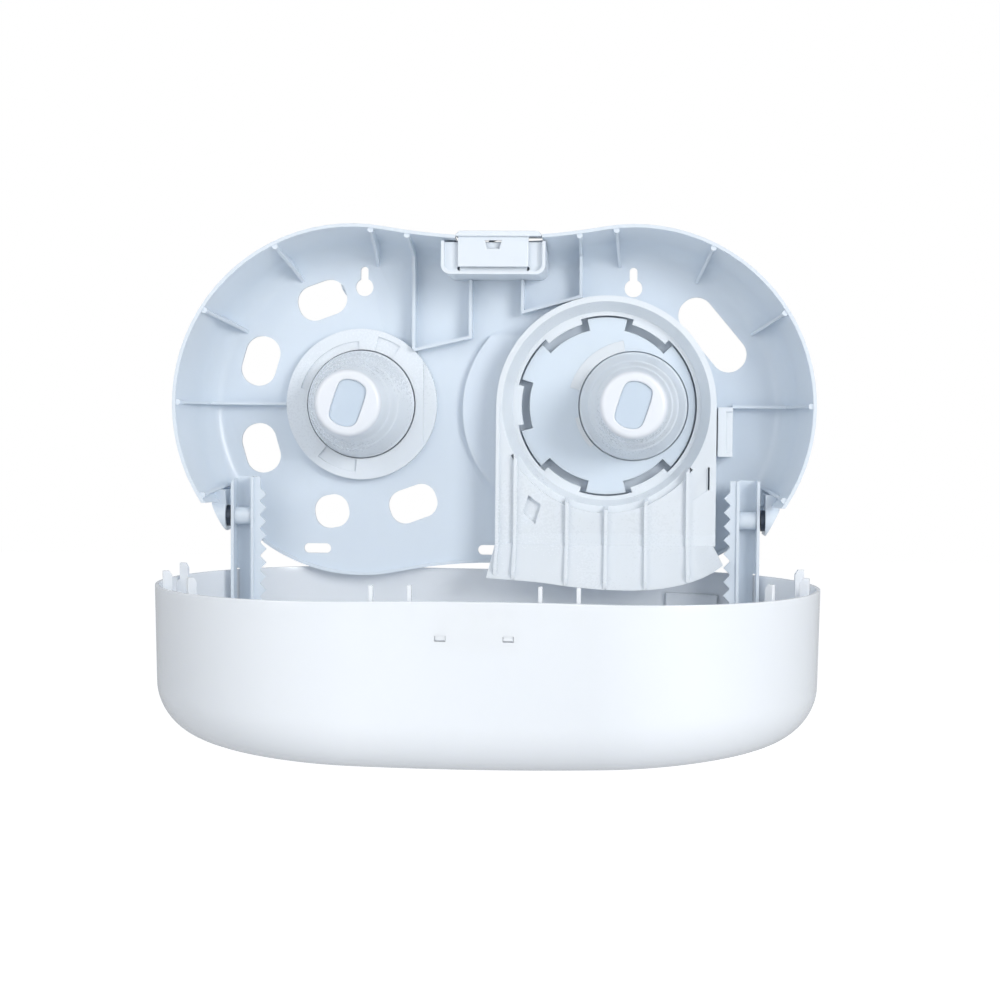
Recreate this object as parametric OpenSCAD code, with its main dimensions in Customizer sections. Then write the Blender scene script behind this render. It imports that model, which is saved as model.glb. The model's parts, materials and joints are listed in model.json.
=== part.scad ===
// Twin jumbo toilet roll dispenser, wall hung, drawn with its cover hinged open.
// X is to the right, +Z is up and the front faces -Y. The wall is the plane y = 0 and the
// origin lies on it, between the two hubs. Most shapes are drawn as [x, height, depth],
// where depth is the distance in front of the wall, and on_wall() stands them up.

/* [Case] */
// Overall width of the case
case_w = 420; // [400:1:440]
// Radius of each lobe at the rim
lobe_r = 118; // [112:0.5:124]
// How far the lobe centres lie below the hubs
lobe_drop = 1; // [0:0.5:3]
// Dip of the outline between the lobes, at the top
top_dip = 8; // [5:0.5:12]
// Dip of the outline between the lobes, at the bottom
bottom_dip = 9.5; // [6:0.5:13]
// Distance from the case's side to the hub beside it
hub_inset = 118; // [114:0.5:122]

/* [Tray] */
// Gap between the wall and the back of the tray floor
wall_gap = 15; // [15:0.5:18]
// Thickness of the tray floor
floor_t = 3; // [2:0.25:4]
// Depth of the tray in front of its floor, up to the rim
tray_h = 65; // [62:1:70]
// Thickness of the tray wall
tray_wall_t = 2.2; // [1.8:0.1:3]
// Height of the fold in the tray wall above the floor
fold_h = 27; // [24:0.5:30]
// Width of the rounding from the fold down to the floor
cove_w = 16; // [13:0.5:18]
// Inset of the fold at the sides
side_flare = 5.5; // [4:0.5:8]
// Inset of the fold at the top
top_flare = 4.2; // [3:0.2:6]
// Inset of the fold at the bottom
bottom_flare = 2; // [1:0.5:3]
// How far above the hinge axis the tray wall ends
wall_clear = 9.5; // [9:0.5:13.5]
// Thickness of ribs and gussets
rib_t = 2; // [1.6:0.1:2.6]
// Radius of the bead on each gusset
bead_r = 1.9; // [1.5:0.1:2.4]

/* [Cover] */
// Depth of the cover, from the rim to the middle of its face
cover_h = 106; // [98:1:114]
// Thickness of the cover
cover_t = 2.5; // [2:0.1:3]
// Radius between the cover's wall and its face
cover_round = 30; // [20:1:34]
// Draft of the cover's wall
cover_draft = 1.2; // [0.6:0.1:2]
// Angle at which the cover hangs open
open_angle = 91.4; // [60:0.2:91.4]

/* [Hinge] */
// Height of the hinge axis above the bottom of the lobes
hinge_up = 43.5; // [41:0.5:45]
// Distance of the hinge axis from the tray floor
hinge_h = 28; // [28:0.5:30]
// Radius of the hinge pins
pin_r = 3; // [2.5:0.1:3.5]
// Running clearance of the hinge pins
pin_fit = 0.06; // [0.03:0.01:0.1]

/* [Arms] */
// Distance from the case's side to the outer face of an arm
arm_inset = 34; // [33.8:0.1:35]
// Width of the arm's channel
arm_w = 15.4; // [13:0.2:16]
// Height of the arm's channel
arm_h = 16; // [14:0.5:17]
// Length of the arm behind the hinge axis
arm_tail = 26.4; // [22:0.2:26.4]
// Reach of the arm in front of the hinge axis
arm_reach = 94; // [88:1:97]
// Wall of the channel
arm_t = 2; // [1.6:0.1:2.4]
// Number of tearing teeth on an arm
tooth_n = 12; // [8:1:12]
// Pitch of the teeth
tooth_pitch = 9.2; // [8:0.1:9.4]
// Depth of the teeth
tooth_d = 4; // [3:0.1:5]
// Width of the toothed edge, teeth included
tooth_w = 8.2; // [7:0.1:9]

/* [Spindles] */
// Radius of the nose caps
cap_r = 21.8; // [20:0.1:22.5]
// Thickness of the nose caps
cap_t = 5; // [4:0.5:6]
// Distance of the caps' front from the tray floor
cap_h = 83; // [78:1:88]
// Radius of the posts
post_r = 16.4; // [15.5:0.1:17]
// Width across the flats of the posts' ends
post_flat = 19; // [18:0.5:20]
// Running clearance of the cones on the posts
cone_fit = 0.08; // [0.04:0.01:0.1]
// Radius of the cones' base
cone_r = 36.2; // [35:0.1:37]
// Wall of the cones
cone_t = 2.4; // [2:0.1:3]
// Tilt of the flats, seen from the front
flat_tilt = -18; // [-45:1:45]

/* [Hub flange and turret] */
// Radius of the left hub flange
flange_r = 51; // [48:0.5:52]
// Height of the left hub flange above the floor
flange_h = 9; // [8:0.5:10]
// Distance of the turret's centre from the middle, as a share of the right hub's
turret_share = 0.80435; // [0.79:0.005:0.82]
// Radius of the turret disc
turret_r = 59.6; // [58:0.1:60.2]
// Radius of the stud that the turret turns on
stud_r = 12; // [10:0.5:13]
// Running clearance of the turret on its stud
stud_fit = 0.08; // [0.04:0.01:0.1]
// Opening angle of each bayonet notch
notch_a = 34; // [28:1:38]

/* [Paper guide] */
// Radius of the guide's round top
guide_r = 73.2; // [72:0.2:75]
// Height of the guide's front above the floor
guide_h = 27; // [24:0.5:29]
// Thickness of the guide's walls
guide_t = 2.2; // [1.8:0.1:2.6]
// How far above the bottom of the lobes the skirt starts to flare forward
crease_up = 26; // [23:0.5:29]
// How far the skirt's lip stands in front of the guide
skirt_out = 24; // [20:0.5:25]
// Height of the ribs on the guide
guide_rib_h = 4; // [3:0.5:5]
// Thickness of the ribs on the guide
guide_rib_t = 2.3; // [1.8:0.1:2.8]

/* [Lock] */
// Width of the lock housing
lock_w = 68; // [64:1:69]
// How far the lock housing reaches below the top of the waist
lock_drop = 24.5; // [23:0.5:26]
// Width of the press button
button_w = 56; // [50:1:57]
// Travel of the press button
button_travel = 2.5; // [1.5:0.5:3]

/* [Hidden] */
$fn = 96;

case_colour = "#eef2f8";
tray_colour = "#dbe5ef";
metal_colour = "#6c7480";

// Depths in front of the wall
floor_back = wall_gap;
floor_front = floor_back + floor_t;
rim_d = floor_front + tray_h;
fold_d = floor_front + fold_h;
hinge_d = floor_front + hinge_h;
face_d = rim_d + cover_h;
flange_front = floor_front + flange_h;
cap_front = floor_front + cap_h;
cap_back = cap_front - cap_t;
guide_front = floor_front + guide_h;

gap = 0.3;          // clearance between pieces that move past or seat beside each other
sink = 0.5;         // overlap where one part of a moulding grows out of another
far = 500;          // larger than anything here

// Places across the case, and heights from the hubs
lobe_x = case_w / 2 - lobe_r;
lobe_z = -lobe_drop;
case_low = lobe_z - lobe_r;          // bottom of the lobes
waist_z = lobe_z + lobe_r - top_dip; // top of the case in the middle
hub_x = case_w / 2 - hub_inset;
turret_x = turret_share * hub_x;
arm_x = case_w / 2 - arm_inset;
hinge_z = case_low + hinge_up;
wall_end = hinge_z + wall_clear;
crease_z = case_low + crease_up;
lock_z = waist_z - lock_drop;

// Lobes of the wall's outline at the fold, drawn in by the flare
fold_lobe_r = lobe_r - (top_flare + bottom_flare) / 2;
fold_lobe_x = case_w / 2 - side_flare - fold_lobe_r;
fold_lobe_z = lobe_z - (top_flare - bottom_flare) / 2;

// ---- outline of the case: two lobes joined by shallow hollow arcs ----

// Height of the hollow arc's centre above the lobes, for a dip between lobes at +-cx
function arc_rise(cx, dip) = (cx * cx - dip * dip) / (2 * dip);
function arc_radius(cx, dip, r) = arc_rise(cx, dip) - r + dip;
function arc_points(cx, cy, r, from, to, n) =
    [for (i = [0 : n - 1]) let (a = from + (to - from) * i / n) [cx + r * cos(a), cy + r * sin(a)]];

lobe_n = 44;
waist_n = 10;
ring_n = 2 * lobe_n + 2 * waist_n;

// The outline as points, counter-clockwise from below the right lobe
function peanut(r, cx, cy) =
    let (
        rise_t = arc_rise(cx, top_dip),
        rise_b = arc_rise(cx, bottom_dip),
        at = atan2(rise_t, -cx),
        ab = atan2(rise_b, -cx)
    )
    concat(
        arc_points(cx, cy, r, -ab, at, lobe_n),
        arc_points(0, cy + rise_t, arc_radius(cx, top_dip, r), at - 180, -at, waist_n),
        arc_points(-cx, cy, r, 180 - at, 180 + ab, lobe_n),
        arc_points(0, cy - rise_b, arc_radius(cx, bottom_dip, r), ab, 180 - ab, waist_n)
    );

// The same outline with true arcs, which cross by a hair where they meet
arc_overlap = 0.03;
module peanut_face(r, cx, cy) {
    rise_t = arc_rise(cx, top_dip);
    rise_b = arc_rise(cx, bottom_dip);
    at = atan2(rise_t, -cx);
    ab = atan2(rise_b, -cx);
    tx = cx + r * cos(at);
    tz = r * sin(at);
    bx = cx + r * cos(ab);
    bz = r * sin(ab);
    translate([0, cy]) {
        for (s = [-1, 1]) translate([s * cx, 0]) circle(r = r);
        difference() {
            polygon([[cx, 0], [tx, tz], [-tx, tz], [-cx, 0], [-bx, -bz], [bx, -bz]]);
            translate([0, rise_t]) circle(r = arc_radius(cx, top_dip, r) + arc_overlap, $fn = 360);
            translate([0, -rise_b]) circle(r = arc_radius(cx, bottom_dip, r) + arc_overlap, $fn = 360);
        }
    }
}

module rim_face(inset = 0) peanut_face(lobe_r - inset, lobe_x, lobe_z);
// Outline inside the wall at the fold; the flat floor begins cove_w further in
module fold_face(inset = 0) peanut_face(fold_lobe_r - tray_wall_t - inset, fold_lobe_x, fold_lobe_z);

// ---- helpers ----

module on_wall() rotate([90, 0, 0]) children();
module slab(from, to) translate([0, 0, from]) linear_extrude(to - from) children();
// An outline drawn as [height, depth], drawn out from x0 to x1
module along_x(x0, x1) translate([x0, 0, 0]) rotate([90, 0, 90]) linear_extrude(x1 - x0) children();
module rod_x(x0, x1, r) translate([x0, hinge_z, hinge_d]) rotate([0, 90, 0]) cylinder(h = x1 - x0, r = r);
module both_sides() {
    children();
    mirror([1, 0, 0]) children();
}
// What is drawn closed, swung open about the hinge axis
module swung() translate([0, hinge_z, hinge_d]) rotate([open_angle, 0, 0])
    translate([0, -hinge_z, -hinge_d]) children();
module above(z) translate([-far / 2, z]) square([far, far]);
module below(z) translate([-far / 2, z - far]) square([far, far]);
module rounded_box(w, h, r) {
    square([w - 2 * r, h], center = true);
    square([w, h - 2 * r], center = true);
    for (sx = [-1, 1], sy = [-1, 1]) translate([sx * (w / 2 - r), sy * (h / 2 - r)]) circle(r = r);
}
module wall_line(p, q, t) {
    l = norm(q - p);
    translate(p) rotate(atan2(q[1] - p[1], q[0] - p[0])) translate([0, -t / 2]) square([l, t]);
    for (e = [p, q]) translate(e) circle(r = 0.54 * t);
}
// A slice of a round wall from r0 to r1 and d0 to d1, centred on angle a
module arc_block(r0, r1, d0, d1, a, width)
    translate([0, 0, d0]) rotate([0, 0, a - width / 2])
        rotate_extrude(angle = width) translate([r0, 0]) square([r1 - r0, d1 - d0]);

// Triangles between rings a and b of a stack, for a closed surface
function band(a, b) = [for (i = [0 : ring_n - 1])
    let (j = (i + 1) % ring_n, a0 = a * ring_n, b0 = b * ring_n)
    each [[a0 + i, b0 + i, b0 + j], [a0 + i, b0 + j, a0 + j]]];
function lift(ring, d) = [for (p = ring) [p[0], p[1], d]];

// ---- screws ----
screw_r = 1.5;
screw_head_r = 3.2;
screw_head_h = 2;
screw_fit = 0.05;
screw_l = 9;
boss_r = 3.4;

// A screw driven forward from behind a plate whose back is at depth d
module rear_screw(p, d) translate([p[0], p[1], d]) {
    translate([0, 0, -screw_head_h]) cylinder(h = screw_head_h, r = screw_head_r);
    cylinder(h = screw_l, r = screw_r);
}
module screw_hole(p, d, l) translate([p[0], p[1], d]) cylinder(h = l, r = screw_r + screw_fit);

// ---- rear tray ----

key_x = hub_x - 0.7;
key_z = 79.5;
key_r = 6;
key_slot = 5.2;
key_rise = 11.4;
key_ring_r = 17;                     // ring behind each keyhole
slot_z = -98.5;
slot_w = 6.6;
side_slot_x = hub_x + 30.6;
side_slot_l = 18.6;
mid_slot_l = 25.2;
pocket_h = 14;
pocket_x = lock_w / 2 + 22.2;
pocket_in = [-18, 17];               // inner walls of the two pockets
left_foot = [-pocket_x, 36.8];
left_knee = [pocket_in[0], 45.6];
right_foot = [pocket_x, guide_r];
right_knee = [pocket_in[1], guide_r - 10.7];
gusset_angles = [-31.5, 32.2, 63.8, 96];
gusset_toe = cove_w + 1.4;
gusset_waist = 8.4;
lip_inset = 2.5;
lip_h = 2.5;
pad_h = 6;
pad_r = 75.8;
pad_centre = [turret_x - 21.5, -3];
pad_top = 47.3;
pad_right = turret_x - 34;

// Windows in the floor lie midway between the wall and the flange or the guide
window_room = lobe_r - 30 - (flange_r + 13);
window_mid = flange_r + 13 + window_room / 2;
slant_room = lobe_r - 33.2 - (guide_r - 14.6);
slant_mid = guide_r - 14.6 + slant_room / 2;
slant_l = 58;

guide_foot_dx = guide_r - 9.2;
guide_foot_z = crease_z + 15;
guide_top_angles = [40, 140];
guide_boss_r = guide_r - 5.2;
flange_screw_angles = [30, 112, 200, 298];
flange_screw_r = flange_r - 7;
post_screw_dx = 9;
post_screw_dz = 7;
lock_screw_x = 22;
lock_screw_z = lock_z + 4;

function guide_screws() = concat([for (s = [-1, 1]) [turret_x + s * guide_foot_dx, guide_foot_z]],
    [for (a = guide_top_angles) [turret_x + guide_boss_r * cos(a), guide_boss_r * sin(a)]]);
function flange_screw_points() =
    [for (a = flange_screw_angles) [-hub_x + flange_screw_r * cos(a), flange_screw_r * sin(a)]];
function post_screw_points(x) = [for (s = [-1, 1]) [x + post_screw_dx, s * post_screw_dz]];
function lock_screw_points() = [for (s = [-1, 1]) [s * lock_screw_x, lock_screw_z]];

// Wall section: from the floor's back round the rounding and up to the rim outside, then back
// down inside. Rounding rings are [inset from the inside of the fold, depth] at angle a.
function cove_ring(w, h, a) = lift(
    peanut(fold_lobe_r - tray_wall_t - cove_w + w * cos(a), fold_lobe_x, fold_lobe_z), fold_d - h * sin(a));
cove_angles = [90, 72, 54, 36, 18, 0];
module tray_wall() {
    outside = [for (a = cove_angles) cove_ring(cove_w + tray_wall_t, fold_h + floor_t, a)];
    inside = [for (a = cove_angles) cove_ring(cove_w, fold_h, a)];
    last = len(cove_angles) - 1;
    rings = concat(outside, [lift(peanut(lobe_r, lobe_x, lobe_z), rim_d - gap)],
        [lift(peanut(lobe_r - tray_wall_t, lobe_x, lobe_z), rim_d - gap)],
        [for (k = [0 : last]) inside[last - k]]);
    count = len(rings);
    difference() {
        polyhedron(points = [for (r = rings) each r],
            faces = [for (k = [0 : count - 1]) each band(k, (k + 1) % count)]);
        slab(0, far) below(wall_end);
    }
}

module tray_floor() {
    slab(floor_back, floor_front) {
        fold_face(cove_w - sink);
        intersection() {
            rim_face(lip_inset);
            below(wall_end + 6);
        }
    }
    slab(floor_front - sink, floor_front + lip_h) intersection() {
        difference() {
            rim_face(lip_inset);
            rim_face(lip_inset + rib_t);
        }
        translate([-arm_x + arm_w + 1, -far]) square([2 * (arm_x - arm_w - 1), far + wall_end - 20]);
    }
}

// What holds the floor off the wall: a frame along the outline, cross ribs and rings at the keyholes
module back_frame() slab(0, floor_back + 1) {
    frame_end = hinge_z - 8.5;
    frame_in = cove_w - 6;
    intersection() {
        difference() {
            fold_face(frame_in);
            fold_face(frame_in + rib_t);
        }
        above(frame_end);
    }
    intersection() {
        fold_face(frame_in);
        union() {
            translate([-far / 2, -rib_t]) square([far, 2 * rib_t]);
            translate([-rib_t, frame_end]) square([2 * rib_t, far]);
        }
    }
    for (s = [-1, 1]) translate([s * key_x, key_z + key_rise / 2]) difference() {
        circle(r = key_ring_r);
        circle(r = key_ring_r - rib_t);
    }
}

// Radius of the inside of the fold from the lobe's centre, at angle a
function fold_r(a) = fold_lobe_r - tray_wall_t - (lobe_x - fold_lobe_x) * cos(a)
    - (lobe_z - fold_lobe_z) * sin(a);
// Foot of a rib that stands on the rounding, hidden in the wall: fold at f, rim at top
function rib_foot(f, top) = [[f - cove_w + 7, floor_front - sink], [f - 4, floor_front + 6.8],
    [f - 0.5, floor_front + 16], [f + tray_wall_t / 2, fold_d], [top - 0.4, rim_d - 1.5],
    [top - 2.6, rim_d - 1.5]];
bead_l = 18.8;
module bead(top) translate([top - 2.2, 0, rim_d - 1.2 - bead_l]) cylinder(h = bead_l, r = bead_r, $fn = 24);

module gusset(a) translate([lobe_x, lobe_z, 0]) rotate([0, 0, a]) {
    f = fold_r(a);
    top = lobe_r - tray_wall_t / 2;
    // the lowest stops short of the arm that swings past it
    toe = a < 0 ? f - (arm_x + 1 - lobe_x) / cos(a) : gusset_toe;
    rotate([90, 0, 0]) linear_extrude(rib_t, center = true) polygon(concat(
        [[f - toe, floor_front - sink]], rib_foot(f, top), [[f - gusset_waist, floor_front + 22]]));
    bead(top);
}

module gussets() {
    both_sides() for (a = gusset_angles) gusset(a);
    both_sides() pocket_gusset();
    // long ribs at hub height, from the side walls to the flange and to the clip
    side = case_w / 2 - tray_wall_t / 2;
    f = case_w / 2 - side_flare - tray_wall_t;
    for (end = [[-1, hub_x + flange_r + gap], [1, clip_x1 + gap]])
        scale_x(end[0]) translate([0, rib_t / 2, 0]) rotate([90, 0, 0]) linear_extrude(rib_t) polygon(concat(
            [[end[1], floor_front - sink]], rib_foot(f, side),
            [[f - gusset_waist, floor_front + 12], [end[1], floor_front + 8]]));
    both_sides() bead(side);
}
module scale_x(s) {
    if (s < 0) mirror([1, 0, 0]) children();
    else children();
}

// Low wall of a pocket, rising to the rim where it meets the tray's top wall
module pocket_gusset() {
    top = pocket_top();
    f = top - top_flare - tray_wall_t / 2;
    along_x(pocket_x - rib_t / 2, pocket_x + rib_t / 2) polygon(concat(
        [[f - 20, floor_front + pocket_h], [f - 20, floor_front - sink]], rib_foot(f, top),
        [[f - 7, floor_front + pocket_h + 6]]));
    translate([pocket_x, 0, 0]) rotate(90) bead(top);
}
// Height of the wall's middle over the pocket walls, at the rim
function pocket_top() = lobe_z + arc_rise(lobe_x, top_dip) - tray_wall_t / 2
    - sqrt(pow(arc_radius(lobe_x, top_dip, lobe_r), 2) - pow(pocket_x, 2));

module pocket_walls() slab(floor_front - sink, floor_front + pocket_h) difference() {
    top = pocket_top() - top_flare - cove_w + 7;
    under_lock = lock_z - gap - rib_t / 2;
    union() {
        wall_line([-pocket_x, top], left_foot, rib_t);
        wall_line(left_foot, left_knee, rib_t);
        wall_line(left_knee, [pocket_in[0], under_lock], rib_t);
        wall_line([pocket_x, top], right_foot, rib_t);
        wall_line(right_foot, right_knee, rib_t);
        wall_line(right_knee, [pocket_in[1], under_lock], rib_t);
    }
    beside_hubs();
}
// Room that the flange and the guide take up on the floor
module beside_hubs() {
    translate([-hub_x, 0]) circle(r = flange_r + gap);
    guide_face(-2 * gap);
}

// Raised pad that shows as a crescent beside the guide
module crescent_pad() slab(floor_front - sink, floor_front + pad_h) difference() {
    intersection() {
        translate(pad_centre) circle(r = pad_r);
        below(pad_top);
        translate([pad_right - far, -far / 2]) square([far, far]);
    }
    beside_hubs();
}

arm_room = 6;

// Lugs outside the arms that hold the hinge pins
ear_in = arm_x + 3.6;
ear_out = ear_in + 9.4;
ear_r = 10;
module hinge_ear() difference() {
    along_x(ear_in, ear_out) {
        translate([hinge_z, hinge_d]) circle(r = ear_r);
        polygon([[hinge_z - ear_r, floor_back], [hinge_z - ear_r, hinge_d],
            [wall_end + 8, hinge_d + ear_r], [wall_end + 8, floor_back]]);
    }
    // its outer side slants in, after the outline
    slab(0, far) polygon([[ear_out + 1.6, wall_end + 1], [ear_in - 1, hinge_z - ear_r - 3],
        [ear_out + far, hinge_z - ear_r - 3], [ear_out + far, wall_end + 1]]);
}

module keyhole() {
    circle(r = key_r);
    translate([-key_slot / 2, 0]) square([key_slot, key_rise]);
    translate([0, key_rise]) circle(r = key_slot / 2);
}
module slot(l) {
    square([l - slot_w, slot_w], center = true);
    for (s = [-1, 1]) translate([s * (l - slot_w) / 2, 0]) circle(r = slot_w / 2);
}
module cut_outs() {
    for (s = [-1, 1]) {
        translate([s * key_x, key_z]) keyhole();
        translate([s * side_slot_x, slot_z]) slot(side_slot_l);
    }
    translate([0, slot_z]) slot(mid_slot_l);
    // [angle about the hub, width and height as shares of the room, turn, corner as a share]
    for (c = [[111.7, 1.42, 1, 20, 0.46], [157.5, 1, 1.42, -16, 0.48], [203.5, 1, 1.42, 16, 0.48],
            [254.2, 0.98, 0.94, 10, 0.42], [297.3, 1.38, 0.96, 20, 0.42]])
        translate([-hub_x, 0]) rotate(c[0]) translate([window_mid, 0]) rotate(c[3] - c[0])
            rounded_box(c[1] * window_room, c[2] * window_room, c[4] * window_room);
    // long window beside the guide
    translate([hub_x, 0]) rotate(42.5) translate([slant_mid, 0]) rotate(-2.5)
        rounded_box(slant_room - 2.2, slant_l, slant_room * 0.44);
}

module rear_tray() color(tray_colour) on_wall() difference() {
    union() {
        tray_wall();
        tray_floor();
        back_frame();
        gussets();
        pocket_walls();
        crescent_pad();
        both_sides() hinge_ear();
        translate([turret_x, 0, floor_front - sink]) cylinder(h = stud_h + sink, r = stud_r);
    }
    slab(floor_back - 1, floor_front + 1) cut_outs();
    both_sides() rod_x(ear_in - 1, ear_out + 1, pin_r + pin_fit);
    for (p = concat(guide_screws(), flange_screw_points(), post_screw_points(-hub_x), lock_screw_points())) {
        screw_hole(p, 0, floor_front + 1);
        // the frame behind the floor leaves room for the heads
        translate([p[0], p[1], -1]) cylinder(h = floor_back + 1, r = screw_head_r + gap);
    }
    // room in the cove for the arms that swing past the end of the wall
    both_sides() slab(arm_back + 0.5, hinge_d) translate([arm_x - arm_w - 1, wall_end - 1])
        square([arm_w + 2, arm_room + 1]);
    // way for the press button through the top wall
    slab(button_back - gap, rim_d + 1) translate([button_dx - button_w / 2 - gap, lock_z + 10])
        square([button_w + 2 * gap, 60]);
}

// ---- left hub flange ----

cone_gap = 0.7;                      // gap round a cone's base
well_r = cone_r + cone_gap;          // radius of the well that a cone's base sits in
flange_plate_t = 3;
facet_x = flange_r - 9;              // chord of the lowered facet, from the flange's centre
facet_drop = 3;
window_list = [[66, 20, flange_r - 4], [129, 73, flange_r - 8.5], [248, 35, flange_r - 5]];

module left_hub_flange() color(tray_colour) on_wall() translate([-hub_x, 0, 0]) difference() {
    translate([0, 0, floor_front]) cylinder(h = flange_h, r = flange_r);
    translate([0, 0, floor_front - 1]) cylinder(h = far, r = well_r);
    // hollow back
    translate([0, 0, floor_front - 1]) difference() {
        cylinder(h = 1 + flange_h - flange_plate_t - facet_drop, r = flange_r - rib_t);
        cylinder(h = far, r = well_r + rib_t);
        for (a = flange_screw_angles) rotate(a) translate([flange_screw_r, 0, 0])
            cylinder(h = far, r = boss_r);
    }
    for (a = flange_screw_angles) rotate(a)
        screw_hole([flange_screw_r, 0], floor_front - 1, screw_l - floor_t + 1 + gap);
    translate([facet_x, -far / 2, flange_front - facet_drop]) cube([far, far, far]);
    for (w = window_list)
        arc_block(well_r - 1, w[2], flange_front - 1.5, flange_front + 1, w[0], w[1]);
}

// ---- spindles: a fixed post with a flat-sided end, a cone that turns on it and a cap ----

post_end = cap_front - 2;
cone_back = floor_front + 7;         // back of the cones' base
cone_front = cap_back - gap;
step_1 = cone_front - 30.7;          // the two steps of a cone
step_2 = cone_front - 17.7;
step_1_r = cone_r - 7.7;
step_2_r = cone_r - 11.6;
collar_r = 20;
post_tip_r = post_r - 1.8;           // round ends of the flat-sided nose, in from the post
post_bore_r = 6;                     // blind bore that lightens the post, open at the back

module flat_sided(r, w) rotate(flat_tilt) intersection() {
    circle(r = r);
    square([w, 2 * r], center = true);
}

// A post that stands on the plane at depth `from`
module spindle_post(x, from) on_wall() translate([x, 0, 0]) difference() {
    union() {
        translate([0, 0, from]) cylinder(h = cap_back - from, r = post_r);
        translate([0, 0, from]) cylinder(h = cone_back - gap - from, r = collar_r);
        slab(cap_back - sink, post_end) flat_sided(post_tip_r, post_flat);
    }
    for (p = post_screw_points(0)) screw_hole(p, from - 1, screw_l);
    translate([0, 0, from - 1]) cylinder(h = cap_back - from - 3, r = post_bore_r);
}

// The stepped cone, as a shell with a tube that runs on the post
module spindle_cone(x) on_wall() translate([x, 0, 0]) {
    r1 = cone_r - 1.4;
    bore = post_r + cone_fit;
    tube = bore + cone_t;
    rotate_extrude() polygon([
        [cone_r - cone_t, cone_back], [cone_r, cone_back], [cone_r, cone_back + 5], [r1, cone_back + 5],
        [step_1_r + 3, step_1], [step_1_r, step_1], [step_2_r + 2.4, step_2], [step_2_r, step_2],
        [cap_r + 0.6, cone_front - 1.5], [cap_r - 0.6, cone_front], [bore, cone_front], [bore, cone_back],
        [tube, cone_back], [tube, step_2 - cone_t], [step_2_r - cone_t, step_2 - cone_t],
        [step_1_r - cone_t, step_1 - cone_t], [r1 - cone_t, cone_back + 6]]);
}

module nose_cap(x) on_wall() translate([x, 0, 0]) difference() {
    rotate_extrude() polygon([[0, cap_back], [cap_r, cap_back], [cap_r, cap_front - 1.8],
        [cap_r - 0.6, cap_front - 0.6], [cap_r - 1.8, cap_front], [0, cap_front]]);
    slab(cap_back - 1, cap_front + 1) flat_sided(post_tip_r + screw_fit, post_flat + 2 * screw_fit);
}

module left_spindle_post() color(tray_colour) spindle_post(-hub_x, floor_front);
module left_spindle_cone() color(tray_colour) spindle_cone(-hub_x);
module left_nose_cap() color("white") nose_cap(-hub_x);
module left_post_screws() color(metal_colour) on_wall()
    for (p = post_screw_points(-hub_x)) rear_screw(p, floor_back);
module flange_screws() color(metal_colour) on_wall()
    for (p = flange_screw_points()) rear_screw(p, floor_back);

module right_spindle_post() color(tray_colour) spindle_post(hub_x, turret_floor);
module right_spindle_cone() color(tray_colour) spindle_cone(hub_x);
module right_nose_cap() color("white") nose_cap(hub_x);
module right_post_screws() color(metal_colour) on_wall()
    for (p = post_screw_points(hub_x)) rear_screw(p, turret_floor - turret_plate_t);

// ---- turret disc: it carries the right spindle off its own centre ----

turret_back = floor_front + 1;
turret_plate_t = 2.5;
turret_floor = turret_back + 5;      // floor of the well in the disc
turret_front = flange_front;
stud_h = turret_floor - turret_plate_t / 2 - floor_front - gap;
notch_in = turret_r - 7.8;
notch_angles = [60, 120, 180, 240, 300];

module turret_disc() color(tray_colour) on_wall() difference() {
    translate([turret_x, 0, turret_back]) cylinder(h = turret_front - turret_back, r = turret_r);
    // well for the cone's base
    translate([hub_x, 0, turret_floor]) cylinder(h = far, r = well_r);
    // hollow back, inside the rim and round the hub tube
    translate([turret_x, 0, turret_back - 1]) difference() {
        cylinder(h = turret_floor - turret_plate_t - turret_back + 1, r = notch_in - rib_t);
        cylinder(h = far, r = stud_r + stud_fit + cone_t);
    }
    translate([turret_x, 0, turret_back - 1])
        cylinder(h = floor_front + stud_h + gap - turret_back + 1, r = stud_r + stud_fit);
    for (a = notch_angles) translate([turret_x, 0, 0])
        arc_block(notch_in, turret_r + 1, turret_back - 1, turret_front + 1, a, notch_a);
    for (p = post_screw_points(hub_x)) screw_hole(p, turret_floor - turret_plate_t - 1, 5);
}

// ---- paper guide: tombstone housing, bayonet ring and the ribbed skirt ----

ring_in = turret_r + 1;              // bore of the bayonet ring
lip_back = turret_front + 0.5;
lip_t = 3;
lug_r = turret_r - 2.6;
lug_a = 26;
ring_slope = [2.7, 8.7, 10.8];       // foot, shoulder and outer edge of the ring's slope, from its bore
band_in = ring_in + 3.4;             // sunk band between the ribs, under the ring
band_out = guide_r - 1.7;
band_drop = 5.5;
guide_left = turret_x - guide_r;
guide_right = turret_x + guide_r;
lip_d = guide_front + skirt_out;
skirt_t = 2.2;
skirt_left = guide_left - 4.5;
skirt_right = arm_x - arm_w - tooth_w - 1;   // clear of the teeth, which swing past
skirt_drop = [[-79, -21], [-60, -22.2], [-42, -23.6], [-24, -26], [-3, -27.9], [18, -28.3],
    [36, -27.2], [50, -24.4], [62, -20.6], [72, -15.4], [79, -10]];   // lip, from the turret and the crease
rib_dx = [-60, -25.4, 0.5, 27, 54.6];
diamond = [[-2.3, 9.3], [6.1, 3], [2.3, -9.8], [-6, -2]];
diamond_at = [turret_x - 49, crease_z + 23.6];

// Front outline of the guide; a negative inset gives it room
module guide_face(inset = 0) {
    translate([turret_x, 0]) circle(r = guide_r - inset);
    translate([guide_left + inset, crease_z + inset]) square([2 * (guide_r - inset), -crease_z]);
}

// Height of the skirt's lip at x
function lip_z(x) = crease_z + lookup(x - turret_x, skirt_drop);

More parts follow.
